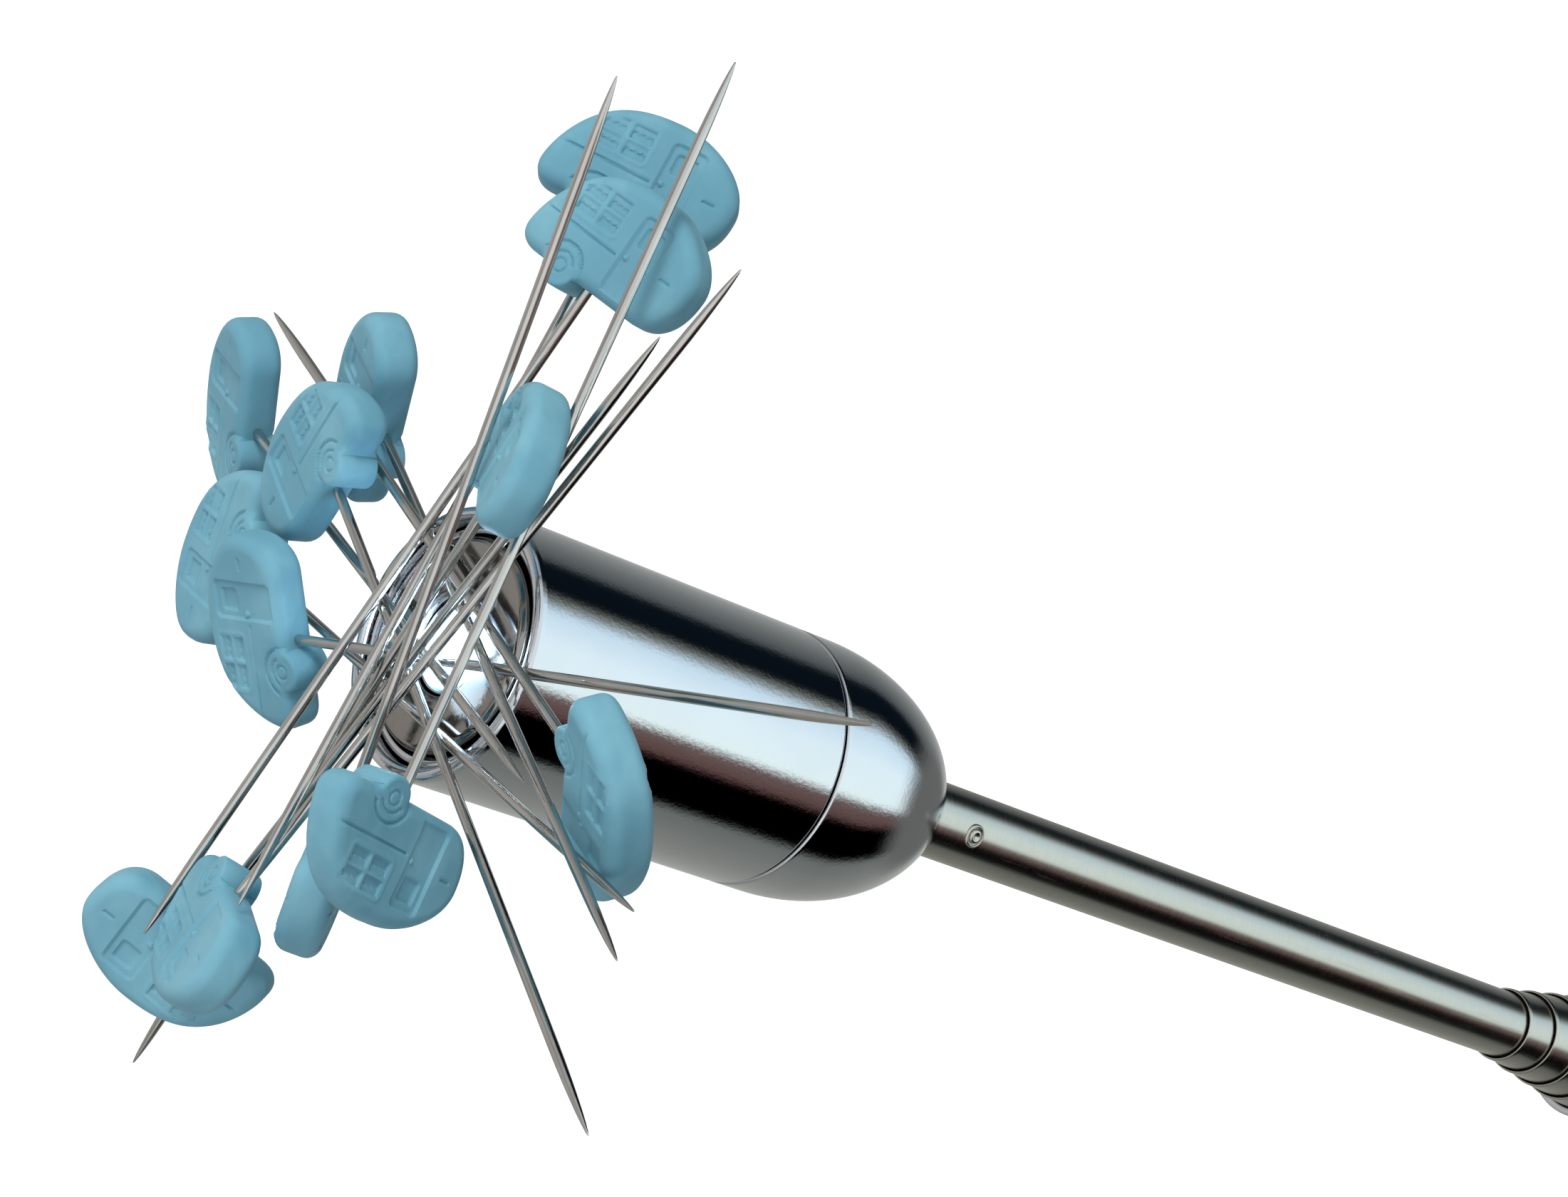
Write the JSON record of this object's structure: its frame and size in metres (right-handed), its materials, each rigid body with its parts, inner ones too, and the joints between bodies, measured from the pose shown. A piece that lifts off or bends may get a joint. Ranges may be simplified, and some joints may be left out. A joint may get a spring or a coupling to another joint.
{
  "type": "magnetic pin holder",
  "caption": "Telescopic lighted magnetic pick-up tool whose head holds flat-head sewing pins with camper-shaped grips.",
  "frame": {"origin": "middle of the end cap's flat bottom face", "axes": "+Z along the telescopic tubes from the end cap to the magnet; +Y towards the pocket clip"},
  "size_m": [0.0697, 0.0707, 0.238],
  "materials": {
    "mirror_chrome": "mirror chrome plate",
    "stainless_tube": "polished stainless tube",
    "plated_magnet": "bright nickel plate",
    "pin_steel": "plated pin wire",
    "plated_steel": "zinc plate",
    "cell_can": "nickel-plated can",
    "sprung_brass": "bare brass",
    "camper_plastic": "satin moulded plastic, light blue",
    "clear_resin": "clear cast resin, lit from inside",
    "lamp_board": "green lacquered board",
    "seal_rubber": "black rubber",
    "insulating_card": "white card"
  },
  "bodies": {
    "handle": {"outer_tube": "stainless_tube", "end_cap": "mirror_chrome", "pocket_clip": "mirror_chrome"},
    "stage_4": {"tube_4": "stainless_tube", "friction_sleeve_4": "sprung_brass"},
    "stage_3": {"tube_3": "stainless_tube", "friction_sleeve_3": "sprung_brass"},
    "stage_2": {"tube_2": "stainless_tube", "friction_sleeve_2": "sprung_brass"},
    "stem": {"tube_1": "stainless_tube", "friction_sleeve_1": "sprung_brass", "head_stud": "plated_steel", "stud_rivet": "stainless_tube", "rear_cap": "mirror_chrome", "cap_seal": "seal_rubber", "cell_spring": "plated_steel", "button_cell_1": "cell_can", "button_cell_2": "cell_can", "button_cell_3": "cell_can", "button_cell_4": "cell_can", "cell_sleeve": "insulating_card"},
    "lamp_head": {"head_barrel": "mirror_chrome", "magnet_cup": "mirror_chrome", "ring_magnet": "plated_magnet", "lamp_bezel": "mirror_chrome", "lamp_lens": "clear_resin", "lamp_lead_plus": "plated_steel", "lamp_lead_minus": "plated_steel", "lamp_board": "lamp_board", "board_contact": "sprung_brass"},
    "pin_a": {"pin_shank_a": "pin_steel", "camper_a": "camper_plastic"},
    "pin_b": {"pin_shank_b": "pin_steel", "camper_b": "camper_plastic"},
    "pin_c": {"pin_shank_c": "pin_steel", "camper_c": "camper_plastic"},
    "pin_d": {"pin_shank_d": "pin_steel", "camper_d": "camper_plastic"},
    "pin_e": {"pin_shank_e": "pin_steel", "camper_e": "camper_plastic"},
    "pin_f": {"pin_shank_f": "pin_steel", "camper_f": "camper_plastic"},
    "pin_g": {"pin_shank_g": "pin_steel", "camper_g": "camper_plastic"},
    "pin_h": {"pin_shank_h": "pin_steel", "camper_h": "camper_plastic"},
    "pin_i": {"pin_shank_i": "pin_steel", "camper_i": "camper_plastic"},
    "pin_j": {"pin_shank_j": "pin_steel", "camper_j": "camper_plastic"},
    "pin_k": {"pin_shank_k": "pin_steel", "camper_k": "camper_plastic"},
    "pin_l": {"pin_shank_l": "pin_steel", "camper_l": "camper_plastic"},
    "pin_m": {"pin_shank_m": "pin_steel", "camper_m": "camper_plastic"}
  },
  "joints": [
    {"name": "stage_4_slide", "type": "slide", "parent": "handle", "child": "stage_4", "axis": [0, 0, 1], "range_m": [0, 0.082]},
    {"name": "stage_3_slide", "type": "slide", "parent": "stage_4", "child": "stage_3", "axis": [0, 0, 1], "range_m": [0, 0.082]},
    {"name": "stage_2_slide", "type": "slide", "parent": "stage_3", "child": "stage_2", "axis": [0, 0, 1], "range_m": [0, 0.082]},
    {"name": "stem_slide", "type": "slide", "parent": "stage_2", "child": "stem", "axis": [0, 0, 1], "range_m": [-0.064, 0.021]},
    {"name": "lamp_twist", "type": "hinge", "parent": "stem", "child": "lamp_head", "pos_m": [0, 0, 0.2], "axis": [0, 0, 1], "range_deg": [-90, 0]},
    {"name": "pin_a_pull", "type": "slide", "parent": "lamp_head", "child": "pin_a", "axis": [0.9698, 0.1019, -0.2215], "range_m": [0, 0.05]},
    {"name": "pin_b_pull", "type": "slide", "parent": "lamp_head", "child": "pin_b", "axis": [0.969, -0.2237, -0.1045], "range_m": [0, 0.05]},
    {"name": "pin_c_pull", "type": "slide", "parent": "lamp_head", "child": "pin_c", "axis": [0.8823, -0.4496, 0.1392], "range_m": [0, 0.05]},
    {"name": "pin_d_pull", "type": "slide", "parent": "lamp_head", "child": "pin_d", "axis": [0.2572, 0.9597, -0.1132], "range_m": [0, 0.05]},
    {"name": "pin_e_pull", "type": "slide", "parent": "lamp_head", "child": "pin_e", "axis": [0.4529, 0.889, -0.068], "range_m": [0, 0.05]},
    {"name": "pin_f_pull", "type": "slide", "parent": "lamp_head", "child": "pin_f", "axis": [0.5755, 0.8128, 0.0906], "range_m": [0, 0.05]},
    {"name": "pin_g_pull", "type": "slide", "parent": "lamp_head", "child": "pin_g", "axis": [0.1736, 0.9848, -0.0087], "range_m": [0, 0.05]},
    {"name": "pin_h_pull", "type": "slide", "parent": "lamp_head", "child": "pin_h", "axis": [-0.1902, 0.9786, 0.0785], "range_m": [0, 0.05]},
    {"name": "pin_i_pull", "type": "slide", "parent": "lamp_head", "child": "pin_i", "axis": [-0.3745, -0.9269, -0.0262], "range_m": [0, 0.05]},
    {"name": "pin_j_pull", "type": "slide", "parent": "lamp_head", "child": "pin_j", "axis": [-0.9851, -0.1035, 0.1374], "range_m": [0, 0.05]},
    {"name": "pin_k_pull", "type": "slide", "parent": "lamp_head", "child": "pin_k", "axis": [-0.9847, 0.1192, -0.1271], "range_m": [0, 0.05]},
    {"name": "pin_l_pull", "type": "slide", "parent": "lamp_head", "child": "pin_l", "axis": [-0.9472, 0.2896, 0.1374], "range_m": [0, 0.05]},
    {"name": "pin_m_pull", "type": "slide", "parent": "lamp_head", "child": "pin_m", "axis": [-0.8987, 0.4383, -0.0175], "range_m": [0, 0.05]}
  ]
}
